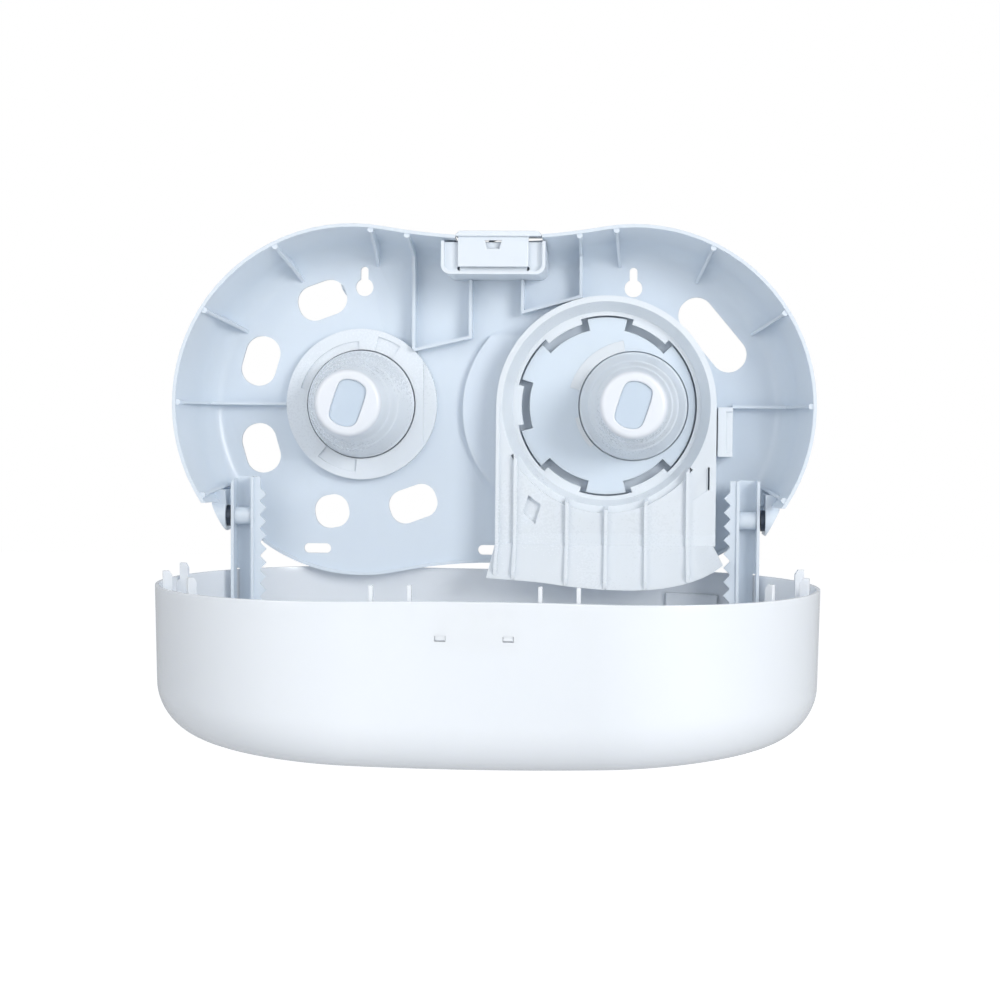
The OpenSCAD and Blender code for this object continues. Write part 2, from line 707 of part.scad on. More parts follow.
module skirt() {
    n = 24;
    top = [for (i = [0 : n]) guide_left + (skirt_right - 6 - guide_left) * i / n];
    low = [for (i = [0 : n]) skirt_left + (skirt_right - skirt_left) * i / n];
    // rows of points: crease front, lip front, lip back, crease back
    points = concat(
        [for (x = top) [x, crease_z + 1, guide_front]],
        [for (x = low) [x, lip_z(x), lip_d]],
        [for (x = low) [x, lip_z(x) + 0.6, lip_d - skirt_t - 0.6]],
        [for (x = top) [x, crease_z + 1, guide_front - skirt_t]]);
    m = n + 1;
    sides = [for (r = [0 : 3]) let (s = (r + 1) % 4) for (i = [0 : n - 1])
        each [[r * m + i, r * m + i + 1, s * m + i + 1], [r * m + i, s * m + i + 1, s * m + i]]];
    polyhedron(points = points, faces = concat(sides,
        [[0, m, 2 * m], [0, 2 * m, 3 * m], [n, 2 * m + n, m + n], [n, 3 * m + n, 2 * m + n]]));
}

// A rib that runs down the guide's front and bends forward with the skirt
module guide_rib(dx) {
    x = turret_x + dx;
    top = abs(dx) < ring_in + 2 ? -sqrt(pow(ring_in + 2, 2) - dx * dx) : -20;
    low = lip_z(x);
    along_x(x - guide_rib_t / 2, x + guide_rib_t / 2) polygon([
        [top, guide_front - guide_t], [top, guide_front + guide_rib_h],
        [crease_z, guide_front + guide_rib_h], [low + 5, lip_d], [low + 0.3, lip_d],
        [crease_z, guide_front - guide_t]]);
}

module paper_guide() color(tray_colour) on_wall() difference() {
    union() {
        // side walls
        slab(floor_front, guide_front) difference() {
            guide_face();
            guide_face(guide_t);
        }
        // front plate
        slab(guide_front - guide_t, guide_front) guide_face();
        // inner wall and lip of the ring
        translate([turret_x, 0, 0]) rotate_extrude() polygon([
            [ring_in, lip_back], [ring_in, lip_back + lip_t], [ring_in + ring_slope[0], lip_back + lip_t],
            [ring_in + ring_slope[1], guide_front], [ring_in + ring_slope[2], guide_front],
            [ring_in + ring_slope[0] + 2, lip_back]]);
        for (a = notch_angles) translate([turret_x, 0, 0])
            arc_block(lug_r, ring_in + 1, lip_back, lip_back + lip_t, a, lug_a);
        skirt();
        for (dx = rib_dx) guide_rib(dx);
        // edge rib on the left
        along_x(guide_left, guide_left + guide_rib_t) polygon([
            [0, guide_front - 1], [0, guide_front + guide_rib_h / 2], [crease_z, guide_front + guide_rib_h],
            [crease_z - 15, lip_d - 2], [crease_z - 19, lip_d - 2], [crease_z, guide_front - 1]]);
        // backing of the sunk band, and of the diamond recess
        translate([turret_x, 0, 0])
            arc_block(ring_in + 1, guide_r + 0.7, guide_front - band_drop - guide_t, guide_front - sink,
                -94, 118);
        slab(guide_front - guide_t - 4, guide_front - sink)
            translate([diamond_at[0] - 9, diamond_at[1] - 12]) square([18, 24]);
        // low step above the crease
        slab(guide_front - sink, guide_front + 0.8)
            translate([turret_x + rib_dx[0], crease_z]) square([guide_right - turret_x - rib_dx[0], 7.5]);
        // bosses for the screws
        for (p = guide_screws()) translate([p[0], p[1], floor_front])
            cylinder(h = guide_h - 1, r = boss_r);
    }
    // mouth of the ring
    translate([turret_x, 0, guide_front - guide_t - 1]) cylinder(h = far, r = ring_in + ring_slope[0]);
    translate([turret_x, 0, 0]) rotate_extrude() polygon([
        [ring_in + ring_slope[0], lip_back + lip_t], [ring_in + ring_slope[1], guide_front],
        [ring_in + ring_slope[1], guide_front + 6], [ring_in - 5, guide_front + 6],
        [ring_in - 5, lip_back + lip_t]]);
    // sunk band under the ring
    difference() {
        translate([turret_x, 0, 0])
            arc_block(band_in, band_out, guide_front - band_drop, guide_front + 1, -94, 116);
        for (dx = rib_dx) slab(0, far)
            translate([turret_x + dx - guide_rib_t / 2, -far]) square([guide_rib_t, far]);
    }
    // diamond recess, and the slit with the low recess beside it
    slab(guide_front - 4, guide_front + 1) translate(diamond_at) polygon(diamond);
    slab(guide_front - 4, guide_front + 1) translate([guide_right - 5.4, crease_z + 37.5]) square([1.2, 15]);
    slab(guide_front - 1, guide_front + 1) translate([guide_right - 5.8, crease_z + 52])
        polygon([[0, 0], [-9.2, -13.5], [-9.2, -21.5], [0, -15]]);
    for (p = guide_screws()) screw_hole(p, floor_front - 1, screw_l - floor_t + 2);
    // room for the crescent pad, the pocket walls and the turret behind the ring
    slab(floor_front - 1, lip_back) translate([turret_x, 0]) circle(r = ring_in);
}

module paper_guide_screws() color(metal_colour) on_wall()
    for (p = guide_screws()) rear_screw(p, floor_back);

clip_x0 = guide_right + 1;
clip_x1 = clip_x0 + 10;
clip_top = -0.5;
clip_l = 33;
clip_h = 23;
clip_low = clip_top - clip_l;
clip_w = clip_x1 - clip_x0;
module guide_clip() color(tray_colour) on_wall() difference() {
    slab(floor_front, floor_front + clip_h) translate([clip_x0, clip_low]) square([clip_w, clip_l]);
    // step in its front, and a hollow back
    slab(floor_front + clip_h - 2, far) translate([clip_x0 + 5.5, clip_low + 3]) square([far, clip_l - 6]);
    slab(floor_front - 1, floor_front + clip_h - 4)
        translate([clip_x0 + rib_t, clip_low + rib_t]) square([clip_w - 2 * rib_t, clip_l - 2 * rib_t]);
}

// ---- lock: housing, press button and its spring ----

lock_wall = 2;
lock_front = rim_d - 3;
lock_top = waist_z + 1;
lock_round = 6;
button_back = rim_d - 20;
button_t = 3.5;
button_top = waist_z + 3.5;
latch_w = button_w - 10;
latch_t = 3.5;
notch_top = waist_z - 2.5;
notch_h = 5.5;
notch_w = 11;
notch_base = 8;
latch_low = lock_z + lock_wall + button_travel + gap;
button_dx = 3.6;                     // the button stands off centre
web_d = lock_front - 7;              // web behind the latch, in front of the spring
spring_r = 3.2;
spring_wire = 0.45;
spring_turns = 7;
spring_d = lock_front - 12;
spring_low = lock_z + lock_wall;
spring_top = button_top - button_t;

// Height of the inside of the tray's wall in the middle: at the rim, at the fold and on the rounding
rim_top = waist_z - tray_wall_t;
fold_top = fold_lobe_z + fold_lobe_r - top_dip - tray_wall_t;
function cove_top(a) = [fold_top - cove_w * (1 - cos(a)) - gap, fold_d - fold_h * sin(a)];

module lock_outline(inset) intersection() {
    translate([0, lock_z + inset + lock_w / 2])
        rounded_box(lock_w - 2 * inset, lock_w, lock_round - inset / 2);
    below(lock_top);
}

module lock_housing() color(tray_colour) on_wall() difference() {
    union() {
        difference() {
            slab(floor_front, lock_front) lock_outline(0);
            slab(floor_front + lock_wall, far) intersection() {
                lock_outline(lock_wall);
                above(lock_z + lock_wall);
            }
        }
        slab(web_d, web_d + lock_wall) lock_outline(lock_wall / 2);
    }
    for (p = lock_screw_points()) screw_hole(p, floor_front - 1, far);
    // the top follows the wall of the tray
    along_x(-lock_w, lock_w) polygon(concat([for (a = [90 : -15 : 0]) cove_top(a)],
        [[rim_top - gap, rim_d], [far, rim_d], [far, floor_front - 1],
            [cove_top(90)[0], floor_front - 1]]));
}

module lock_screws() color(metal_colour) on_wall()
    for (p = lock_screw_points()) rear_screw(p, floor_back);

module lock_latch() color("white") on_wall() difference() {
    union() {
        // button
        slab(button_back, rim_d - 1) translate([button_dx, button_top]) polygon([
            [-button_w / 2, -button_t], [-button_w / 2, -2.4], [2.4 - button_w / 2, 0],
            [button_w / 2 - 2.4, 0], [button_w / 2, -2.4], [button_w / 2, -button_t]]);
        // latch face with its two prongs
        slab(lock_front - sink - latch_t, lock_front - sink)
            translate([-latch_w / 2, latch_low]) square([latch_w, button_top - button_t / 2 - latch_low]);
    }
    // notch between the two prongs
    slab(lock_front - latch_t - 1.5, far)
        polygon([[-notch_w / 2, notch_top], [notch_w / 2, notch_top],
            [notch_base / 2, notch_top - notch_h], [-notch_base / 2, notch_top - notch_h]]);
}

// One unbroken tube round the coil's axis; the ends lie flat
module lock_spring() color(metal_colour) on_wall() {
    rings = spring_turns * 8;
    sides = 6;
    rise = spring_top - spring_low - 2 * gap - 2 * spring_wire;
    centre = [for (i = [0 : rings]) let (a = i * 45)
        [spring_r * cos(a), spring_low + gap + spring_wire + rise * i / rings, spring_d + spring_r * sin(a)]];
    points = [for (i = [0 : rings], k = [0 : sides - 1])
        let (a = i * 45, b = k * 360 / sides, out = spring_wire * cos(b))
        centre[i] + [out * cos(a), spring_wire * sin(b), out * sin(a)]];
    polyhedron(points = points, faces = concat(
        [for (i = [0 : rings - 1], k = [0 : sides - 1])
            let (k2 = (k + 1) % sides, p = i * sides + k, q = i * sides + k2)
            each [[p, q, q + sides], [p, q + sides, p + sides]]],
        [[for (k = [0 : sides - 1]) sides - 1 - k]],
        [[for (k = [0 : sides - 1]) rings * sides + k]]));
}

// ---- cover ----

crown_x = 1400;
crown_z = 2000;
fin_rise = 9;
fin_t = 2.5;
fin_w = 6;
fin_root = 14;
fin_angles = [16, 42, -14];
fin_xs = [0.4185 * lobe_x, 0.663 * lobe_x];
tab_x = 20;
tab_w = 6;
tab_h = 3;
tab_d = rim_d + 20;
bump_x = lobe_x + 23;                // pad on the cover's inner bottom wall
bump_w = 35;
bump_from = 15;
bump_l = 30;
arm_end = hinge_d + arm_reach;
arm_foot_t = 3;
arm_screw = [arm_x - 8.7, hinge_z + 2];

function face_at(p) = face_d - p[0] * p[0] / (2 * crown_x) - p[1] * p[1] / (2 * crown_z);
// A ring at wall inset e, sunk by s below the face; or at depth d
function face_ring(e, s) = [for (p = peanut(lobe_r - e, lobe_x, lobe_z)) [p[0], p[1], face_at(p) - s]];
function wall_ring(e, d) = lift(peanut(lobe_r - e, lobe_x, lobe_z), d);

module cover_skin() {
    steps = 6;
    face_insets = [0.424 * lobe_r, 0.61 * lobe_r, 0.78 * lobe_r];
    r_in = cover_round - cover_t;
    outer = concat([wall_ring(0, rim_d)],
        [for (k = [0 : steps]) let (a = 90 * k / steps)
            face_ring(cover_draft + cover_round * (1 - cos(a)), cover_round * (1 - sin(a)))],
        [for (e = face_insets) face_ring(e, 0)]);
    inner = concat([wall_ring(cover_t, rim_d)],
        [for (k = [0 : steps]) let (a = 90 * k / steps)
            face_ring(cover_draft + cover_t + r_in * (1 - cos(a)), cover_t + r_in * (1 - sin(a)))],
        [for (e = face_insets) face_ring(e, cover_t)]);
    n_out = len(outer);
    n_in = len(inner);
    rings = concat(outer, inner);
    count = len(rings) * ring_n;
    points = concat([for (r = rings) each r], [[0, 0, face_at([0, 0])], [0, 0, face_at([0, 0]) - cover_t]]);
    faces = concat(
        [for (k = [0 : n_out - 2]) each band(k, k + 1)],
        [for (i = [0 : ring_n - 1]) let (b = (n_out - 1) * ring_n) [b + i, count, b + (i + 1) % ring_n]],
        [for (k = [0 : n_in - 2]) each band(n_out + k + 1, n_out + k)],
        [for (i = [0 : ring_n - 1]) let (b = (n_out + n_in - 1) * ring_n)
            [b + i, b + (i + 1) % ring_n, count + 1]],
        band(n_out, 0));
    polyhedron(points = points, faces = faces);
}

// A locating fin that stands into the tray when the cover is closed
fin_r = lobe_r - tray_wall_t - 2.4;
module cover_fin() {
    translate([fin_r - fin_w, -fin_t / 2, rim_d - fin_rise]) cube([fin_w, fin_t, fin_rise + fin_root]);
    translate([fin_r - fin_w / 2, -fin_t / 2, rim_d + 2])
        cube([lobe_r - cover_t / 2 - fin_r + fin_w / 2, fin_t, fin_root - 2]);
}
module waist_fin(x) translate([x - fin_t / 2, 0, 0]) {
    top = waist_top(x);
    translate([0, top - fin_w - 4, rim_d - fin_rise]) cube([fin_t, fin_w, fin_rise + fin_root]);
    translate([0, top - fin_w - 2, rim_d + 2]) cube([fin_t, fin_w + 2 - cover_t / 2, fin_root - 2]);
}

module cover_shell() color(case_colour) on_wall() swung() difference() {
    union() {
        cover_skin();
        both_sides() {
            translate([lobe_x, lobe_z, 0]) for (a = fin_angles) rotate(a) cover_fin();
            for (x = fin_xs) waist_fin(x);
        }
        // pad on the inner bottom wall
        slab(rim_d + bump_from, rim_d + bump_from + bump_l) intersection() {
            difference() {
                rim_face(cover_t - 0.6);
                rim_face(cover_t + cover_draft + 2.5);
            }
            translate([bump_x, hinge_z - far]) square([bump_w, far]);
        }
        // bosses that the arms are screwed to
        both_sides() translate([arm_screw[0], arm_screw[1], arm_end]) {
            cylinder(h = face_at(arm_screw) - inner_sink(arm_screw) - 1.2 - arm_end, r = boss_r + 0.6);
            cylinder(h = face_at(arm_screw) - inner_sink(arm_screw) + gap - arm_end, r = boss_r - 0.6);
        }
    }
    both_sides() translate([tab_x - tab_w / 2 - 0.2, lock_z, tab_d - 0.2])
        cube([tab_w + 0.4, 60, tab_h + 0.4]);
    both_sides() screw_hole(arm_screw, arm_end - 1, 8);
}
// How far the cover's inside lies below its face at p, where the rounding has begun
function inner_sink(p) =
    let (r_in = cover_round - cover_t,
        e = lobe_r - norm([p[0] - lobe_x, p[1] - lobe_z]) - cover_draft - cover_t,
        c = max(0, 1 - e / r_in))
    cover_t + r_in * (1 - sqrt(1 - c * c));
// Height of the outline over the waist, at x
function waist_top(x) = lobe_z + arc_rise(lobe_x, top_dip)
    - sqrt(pow(arc_radius(lobe_x, top_dip, lobe_r), 2) - x * x);

catch_w = 52;
catch_l = 26;
catch_t = 2.2;
catch_top = waist_z - cover_t - 0.7;
module catch_plate() color(case_colour) on_wall() swung() {
    translate([-catch_w / 2, catch_top - catch_t, rim_d + 3]) cube([catch_w, catch_t, catch_l]);
    // ridge that the latch's prongs hold
    translate([-catch_w / 2, catch_top - 2 * catch_t, rim_d + 1.5]) cube([catch_w, 2 * catch_t, 2.5]);
    // snap tabs in the cover's windows
    both_sides() translate([tab_x - tab_w / 2, catch_top - 1, tab_d]) cube([tab_w, 4, tab_h]);
}

// ---- arms: open channels with a toothed edge to tear the paper on ----

arm_back = hinge_d - arm_tail;
arm_low = hinge_z - arm_h / 2;
arm_high = hinge_z + arm_h / 2;
tooth_plate_t = 2.2;
tooth_root = arm_x - arm_w - (tooth_w - tooth_d);
tooth_from = arm_end - 3 - tooth_n * tooth_pitch;
bush_r = pin_r + 2.9;
pin_head_r = 7;

// Room inside the case: free behind the rim, inside the cover in front of it
module arm_room() {
    slab(0, rim_d - 1) square(2 * far, center = true);
    slab(rim_d - 1 - sink, face_d) rim_face(cover_t + cover_draft + 0.35);
}

// Right arm, closed; `r` rounds the end behind the hinge
module arm(r) difference() {
    intersection() {
        union() {
            for (x = [arm_x - arm_t, arm_x - arm_w]) translate([x, arm_low, arm_back])
                cube([arm_t, arm_h, arm_end - arm_back]);
            translate([arm_x - arm_w, arm_low, arm_back]) cube([arm_w, arm_t, arm_end - arm_back]);
            translate([arm_x - arm_w, arm_low, arm_end - arm_foot_t]) cube([arm_w, arm_h, arm_foot_t]);
            // toothed plate
            translate([0, arm_high - 1.5, 0]) rotate([90, 0, 0]) linear_extrude(tooth_plate_t) {
                translate([tooth_root, arm_back])
                    square([arm_x - arm_w - tooth_root + arm_t, arm_end - arm_back]);
                for (i = [0 : tooth_n - 1]) translate([tooth_root, tooth_from + i * tooth_pitch])
                    polygon([[sink, 0], [-tooth_d, tooth_pitch / 2], [sink, tooth_pitch]]);
            }
        }
        arm_room();
    }
    rod_x(arm_x - arm_t - 0.01, arm_x + 1, pin_r + pin_fit);
    screw_hole(arm_screw, arm_end - arm_foot_t - 1, arm_foot_t + 2);
    if (r > 0) translate([arm_x - r, arm_low - 1, arm_back + r]) rotate([-90, 0, 0]) difference() {
        cube([far, far, arm_h + 2]);
        translate([0, 0, -1]) cylinder(h = arm_h + 4, r = r);
    }
}

module bush() difference() {
    rod_x(arm_x - arm_w + arm_t, arm_x - arm_t, bush_r);
    rod_x(arm_x - arm_w, arm_x, pin_r + pin_fit);
}

module hinge_pin() {
    rod_x(arm_x - arm_w + arm_t + gap, ear_in + 4.4, pin_r);
    rod_x(arm_x + 0.8, ear_in, pin_head_r);
}

arm_round = 6;                       // the left arm's outer corner is rounded, the right one's isn't
module cover_arm_left() color(tray_colour) on_wall() swung() mirror([1, 0, 0]) arm(arm_round);
module cover_arm_right() color(tray_colour) on_wall() swung() arm(0);
module hinge_bush_left() color(tray_colour) on_wall() mirror([1, 0, 0]) bush();
module hinge_bush_right() color(tray_colour) on_wall() bush();
module hinge_pin_left() color(metal_colour) on_wall() mirror([1, 0, 0]) hinge_pin();
module hinge_pin_right() color(metal_colour) on_wall() hinge_pin();
module arm_screws() color(metal_colour) on_wall() swung() both_sides()
    rear_screw(arm_screw, arm_end - arm_foot_t);

rear_tray();
left_hub_flange();
left_spindle_post();
left_spindle_cone();
left_nose_cap();
left_post_screws();
flange_screws();
turret_disc();
right_spindle_post();
right_spindle_cone();
right_nose_cap();
right_post_screws();
paper_guide();
paper_guide_screws();
guide_clip();
lock_housing();
lock_latch();
lock_spring();
lock_screws();
cover_shell();
catch_plate();
cover_arm_left();
cover_arm_right();
hinge_bush_left();
hinge_bush_right();
hinge_pin_left();
hinge_pin_right();
arm_screws();
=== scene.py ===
import bpy
import bmesh
import json
import math
import numpy as np
from mathutils import Matrix, Vector

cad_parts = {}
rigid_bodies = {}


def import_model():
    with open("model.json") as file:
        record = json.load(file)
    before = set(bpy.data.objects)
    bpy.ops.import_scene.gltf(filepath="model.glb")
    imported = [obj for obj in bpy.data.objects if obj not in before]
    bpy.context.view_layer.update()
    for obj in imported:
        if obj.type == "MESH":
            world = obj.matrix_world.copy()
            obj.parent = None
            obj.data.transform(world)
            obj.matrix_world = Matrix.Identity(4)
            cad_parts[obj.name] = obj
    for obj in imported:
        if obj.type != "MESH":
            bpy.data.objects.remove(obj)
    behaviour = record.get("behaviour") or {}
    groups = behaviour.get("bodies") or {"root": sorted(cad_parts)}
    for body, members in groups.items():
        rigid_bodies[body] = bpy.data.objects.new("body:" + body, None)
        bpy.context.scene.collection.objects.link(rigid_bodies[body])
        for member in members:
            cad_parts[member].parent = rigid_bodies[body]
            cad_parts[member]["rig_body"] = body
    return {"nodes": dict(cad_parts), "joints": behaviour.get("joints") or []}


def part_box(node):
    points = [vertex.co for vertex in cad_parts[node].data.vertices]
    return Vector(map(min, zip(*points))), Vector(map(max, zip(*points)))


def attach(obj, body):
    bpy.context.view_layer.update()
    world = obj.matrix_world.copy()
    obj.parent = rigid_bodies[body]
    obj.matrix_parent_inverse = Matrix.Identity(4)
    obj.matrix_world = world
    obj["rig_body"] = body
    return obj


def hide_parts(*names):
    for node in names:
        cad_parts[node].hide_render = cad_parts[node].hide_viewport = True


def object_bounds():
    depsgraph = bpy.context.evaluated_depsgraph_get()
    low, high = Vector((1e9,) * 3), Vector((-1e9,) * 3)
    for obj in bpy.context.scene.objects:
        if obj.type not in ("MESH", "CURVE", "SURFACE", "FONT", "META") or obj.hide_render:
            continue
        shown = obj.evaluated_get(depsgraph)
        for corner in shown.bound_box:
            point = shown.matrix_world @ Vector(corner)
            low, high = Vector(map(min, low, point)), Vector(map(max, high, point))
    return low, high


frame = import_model()
startLow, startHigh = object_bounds()
print("frame loaded:", len(frame["nodes"]), "nodes")

mm = 0.001


def joint(name):
    return next(j for j in frame["joints"] if j["name"] == name)


# ---- shader sums: a socket that adds its own Math nodes ----

class Wire:
    def __init__(self, paint, socket):
        self.paint = paint
        self.socket = socket

    def combine(self, operation, first, second):
        return self.paint.add("ShaderNodeMath", {"operation": operation}, {0: first, 1: second})

    def __add__(self, other):
        return self.combine("ADD", self, other)

    def __radd__(self, other):
        return self.combine("ADD", other, self)

    def __sub__(self, other):
        return self.combine("SUBTRACT", self, other)

    def __rsub__(self, other):
        return self.combine("SUBTRACT", other, self)

    def __mul__(self, other):
        return self.combine("MULTIPLY", self, other)

    def __rmul__(self, other):
        return self.combine("MULTIPLY", other, self)


class Paint:
    def __init__(self, name):
        self.material = bpy.data.materials.new(name)
        self.material.use_nodes = True
        self.tree = self.material.node_tree
        self.tree.nodes.clear()

    def add(self, kind, settings=None, inputs=None, output=0):
        node = self.tree.nodes.new(kind)
        for key, value in (settings or {}).items():
            setattr(node, key, value)
        for key, value in (inputs or {}).items():
            if isinstance(value, Wire):
                self.tree.links.new(value.socket, node.inputs[key])
            else:
                node.inputs[key].default_value = value
        return Wire(self, node.outputs[output]) if len(node.outputs) else None

    def finish(self, surface):
        self.add("ShaderNodeOutputMaterial", None, {"Surface": surface})
        return self.material


def srgb(red, green, blue):                         # a screen colour from 0 to 255, as linear light
    c = np.array([red, green, blue]) / 255
    c = np.where(c <= 0.04045, c / 12.92, ((c + 0.055) / 1.055) ** 2.4)
    return (float(c[0]), float(c[1]), float(c[2]), 1.0)


# ---- finishes ----

plasticLook = {              # colour, colour of the faint clouds, roughness, coat and orange peel
    "cover": (srgb(236, 240, 245), srgb(231, 236, 242), 0.24, 0.35, 0.02),
    "tray": (srgb(225, 234, 243), srgb(218, 228, 239), 0.3, 0.15, 0.0),
    "guide": (srgb(236, 241, 246), srgb(230, 237, 244), 0.28, 0.15, 0.0),
    "disc": (srgb(224, 234, 243), srgb(219, 230, 241), 0.3, 0.15, 0.0),
    "lock": (srgb(232, 239, 246), srgb(227, 235, 244), 0.34, 0.15, 0.02),
    "cap": (srgb(238, 241, 247), srgb(233, 238, 245), 0.32, 0.15, 0.02),
    "post": (srgb(207, 220, 233), srgb(201, 215, 229), 0.35, 0.1, 0.02),
}
moulded = {                  # what all the plastics share
    "cloudScale": 9.0,
    "grainScale": 700.0,
    "detail": 2.0,
    "cloudRough": 0.08,      # how far the clouds and the grain move the roughness
    "grainRough": 0.04,
    "bump": 0.1 * mm,
    "ior": 1.48,
    "inside": 0.3,           # share of the light that goes into the plastic
    "insideReach": 4 * mm,
    "insideTint": (1.0, 1.0, 1.1),
    "coatRough": 0.16,
}


def plastic(name):
    colour, shade, roughness, coat, peel = plasticLook[name]
    paint = Paint("plastic_" + name)
    place = paint.add("ShaderNodeTexCoord", output=3)
    clouds, grain = (
        paint.add("ShaderNodeTexNoise", None, {"Vector": place, "Scale": scale, "Detail": moulded["detail"]})
        for scale in (moulded["cloudScale"], moulded["grainScale"]))
    mixed = paint.add("ShaderNodeMix", {"data_type": "RGBA"}, {0: clouds, 6: colour, 7: shade}, 2)
    rough = roughness + (clouds - 0.5) * moulded["cloudRough"] + (grain - 0.5) * moulded["grainRough"]
    bump = paint.add("ShaderNodeBump", None, {"Strength": peel, "Distance": moulded["bump"], "Height": grain})
    body = paint.add("ShaderNodeBsdfPrincipled", None, {
        "Base Color": mixed, "Roughness": rough, "Normal": bump, "IOR": moulded["ior"],
        "Subsurface Weight": moulded["inside"], "Subsurface Radius": moulded["insideTint"],
        "Subsurface Scale": moulded["insideReach"],
        "Coat Weight": coat, "Coat Roughness": moulded["coatRough"]})
    return paint.finish(body)


worn = {                     # the metal's faint wear
    "scale": 260.0,
    "detail": 3.0,
    "darker": 0.7,
    "rough": 0.15,
    "metallic": 0.9,
}


def steel(name, colour, rough):
    paint = Paint(name)
    place = paint.add("ShaderNodeTexCoord", output=3)
    wear = paint.add("ShaderNodeTexNoise", None,
                     {"Vector": place, "Scale": worn["scale"], "Detail": worn["detail"]})
    dark = tuple(worn["darker"] * c for c in colour[:3]) + (1.0,)
    shade = paint.add("ShaderNodeMix", {"data_type": "RGBA"}, {0: wear, 6: colour, 7: dark}, 2)
    body = paint.add("ShaderNodeBsdfPrincipled", None, {
        "Base Color": shade, "Roughness": rough + (wear - 0.5) * worn["rough"], "Metallic": worn["metallic"]})
    return paint.finish(body)


finish = {name: plastic(name) for name in plasticLook}
finish["steel"] = steel("dull_steel", srgb(120, 126, 134), 0.38)
finish["darkSteel"] = steel("dark_steel", srgb(84, 92, 104), 0.42)
print("finishes made:", len(finish))


# ---- from the frame: depths in front of the wall, the hinge and the pose of the cover ----

hinge = joint("cover_hinge")
hingeDepth = -hinge["pos_m"][1]
hingeHeight = hinge["pos_m"][2]
openAngle = math.radians(hinge["range_deg"][1])     # the cover is stored open


def onWall(x, height, depth):                       # drawn as across, up and out from the wall
    return np.stack(np.broadcast_arrays(x, -np.asarray(depth), height), axis=-1)


def swung(points):                                  # turned open about the hinge, from where it lies shut
    dy = -points[..., 1] - hingeDepth
    dz = points[..., 2] - hingeHeight
    depth = hingeDepth + dy * math.cos(openAngle) + dz * math.sin(openAngle)
    height = hingeHeight - dy * math.sin(openAngle) + dz * math.cos(openAngle)
    return np.stack([points[..., 0], -depth, height], axis=-1)


# ---- meshes ----

mending = {
    "doubles": 0.002 * mm,
    "flat": math.radians(0.4),       # faces that lean less than this against each other become one
    "easedFrom": math.radians(40),   # edges sharper than this are eased
}


def addMesh(name, points, faces, material, smoothAngle=32, body=None):
    mesh = bpy.data.meshes.new(name)
    mesh.from_pydata(np.asarray(points).reshape(-1, 3).tolist(), [], [list(map(int, f)) for f in faces])
    piece = bpy.data.objects.new(name, mesh)
    bpy.context.scene.collection.objects.link(piece)
    tidyMesh(piece, smoothAngle, outward=body is not None)
    mesh.materials.append(material)
    if body:
        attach(piece, body)
    return piece


def tidyMesh(piece, smoothAngle, flatten=False, outward=False):
    shape = bmesh.new()
    shape.from_mesh(piece.data)
    bmesh.ops.remove_doubles(shape, verts=shape.verts, dist=mending["doubles"])
    if flatten:
        bmesh.ops.dissolve_limit(shape, angle_limit=mending["flat"], verts=shape.verts, edges=shape.edges)
    for edge in shape.edges:
        edge.smooth = len(edge.link_faces) == 2 and edge.calc_face_angle(0) < math.radians(smoothAngle)
    for face in shape.faces:
        face.smooth = True
    if outward:
        bmesh.ops.recalc_face_normals(shape, faces=shape.faces)
    shape.to_mesh(piece.data)
    shape.free()


def gridFaces(rows, columns, wrapRows=False):
    i = np.arange(rows if wrapRows else rows - 1)
    i, j = np.meshgrid(i, np.arange(columns), indexing="ij")
    i2, j2 = (i + 1) % rows, (j + 1) % columns
    corners = [i * columns + j, i * columns + j2, i2 * columns + j2, i2 * columns + j]
    return np.stack(corners, axis=-1).reshape(-1, 4)


def softened(node, material, edge=0.35, steps=2):   # the node's own shape, merged, with its edges eased
    source = frame["nodes"][node]
    piece = bpy.data.objects.new(node + "_eased", source.data.copy())
    bpy.context.scene.collection.objects.link(piece)
    piece.data.materials.clear()
    piece.data.materials.append(material)
    tidyMesh(piece, 32, flatten=True)
    ease = piece.modifiers.new("ease", "BEVEL")
    ease.width = edge * mm
    ease.segments = steps
    ease.limit_method = "ANGLE"
    ease.angle_limit = mending["easedFrom"]
    ease.harden_normals = True
    ease.use_clamp_overlap = True
    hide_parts(node)
    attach(piece, source["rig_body"])
    return piece


# ---- the case's outline: two lobes joined by shallow hollow arcs ----

outline = {
    "lobe": 118 * mm,        # radius of each lobe at the rim
    "width": 420 * mm,
    "drop": 1 * mm,          # how far the lobes lie below the hubs
    "dipTop": 8 * mm,
    "dipBottom": 9.5 * mm,
    "lobeSteps": 150,
    "waistSteps": 50,
}


